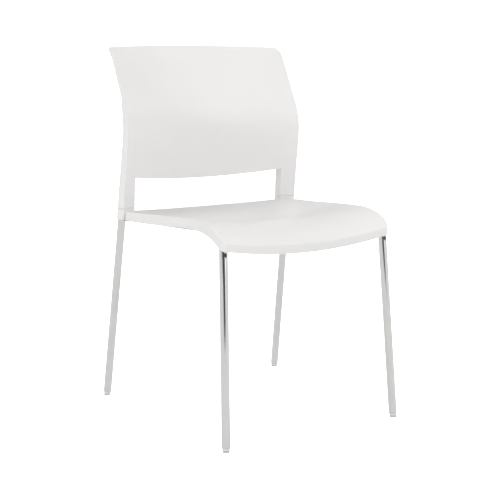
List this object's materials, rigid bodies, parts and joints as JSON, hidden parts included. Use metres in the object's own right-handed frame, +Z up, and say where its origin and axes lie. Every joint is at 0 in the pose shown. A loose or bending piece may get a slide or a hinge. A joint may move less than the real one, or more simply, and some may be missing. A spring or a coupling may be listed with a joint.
{
  "type": "stacking chair",
  "caption": "Armless stacking chair with a moulded dished seat and curved back on a bent steel tube frame with foot glides.",
  "frame": {"origin": "on the floor, in the chair's mirror plane, at the middle of its overall depth", "axes": "+X to the sitter's left, +Y to the rear, +Z up; the chair faces -Y"},
  "size_m": [0.501, 0.5566, 0.8265],
  "materials": {
    "shell_plastic": "satin moulded polypropylene, slightly warm white",
    "chromed_tube": "bright chrome plating",
    "plated_screw": "zinc plated",
    "bumper_rubber": "matte",
    "glide_collar": "milky, slightly see-through nylon",
    "glide_pad": "matte grey nylon",
    "inner_plug": "matte"
  },
  "bodies": {
    "root": {"seat_shell": "shell_plastic", "back_shell": "shell_plastic", "front_cross_strap": "chromed_tube", "rear_cross_strap": "chromed_tube", "left_front_leg_rail": "chromed_tube", "left_rear_upright": "chromed_tube", "left_corner_sleeve": "shell_plastic", "left_front_glide_collar": "glide_collar", "left_front_glide_pad": "glide_pad", "left_rear_glide_collar": "glide_collar", "left_rear_glide_pad": "glide_pad", "left_front_seat_screw": "plated_screw", "left_rear_seat_screw": "plated_screw", "left_back_screw": "plated_screw", "left_upright_plug": "inner_plug", "left_leg_bumper": "bumper_rubber", "right_front_leg_rail": "chromed_tube", "right_rear_upright": "chromed_tube", "right_corner_sleeve": "shell_plastic", "right_front_glide_collar": "glide_collar", "right_front_glide_pad": "glide_pad", "right_rear_glide_collar": "glide_collar", "right_rear_glide_pad": "glide_pad", "right_front_seat_screw": "plated_screw", "right_rear_seat_screw": "plated_screw", "right_back_screw": "plated_screw", "right_upright_plug": "inner_plug", "right_leg_bumper": "bumper_rubber"}
  },
  "joints": []
}
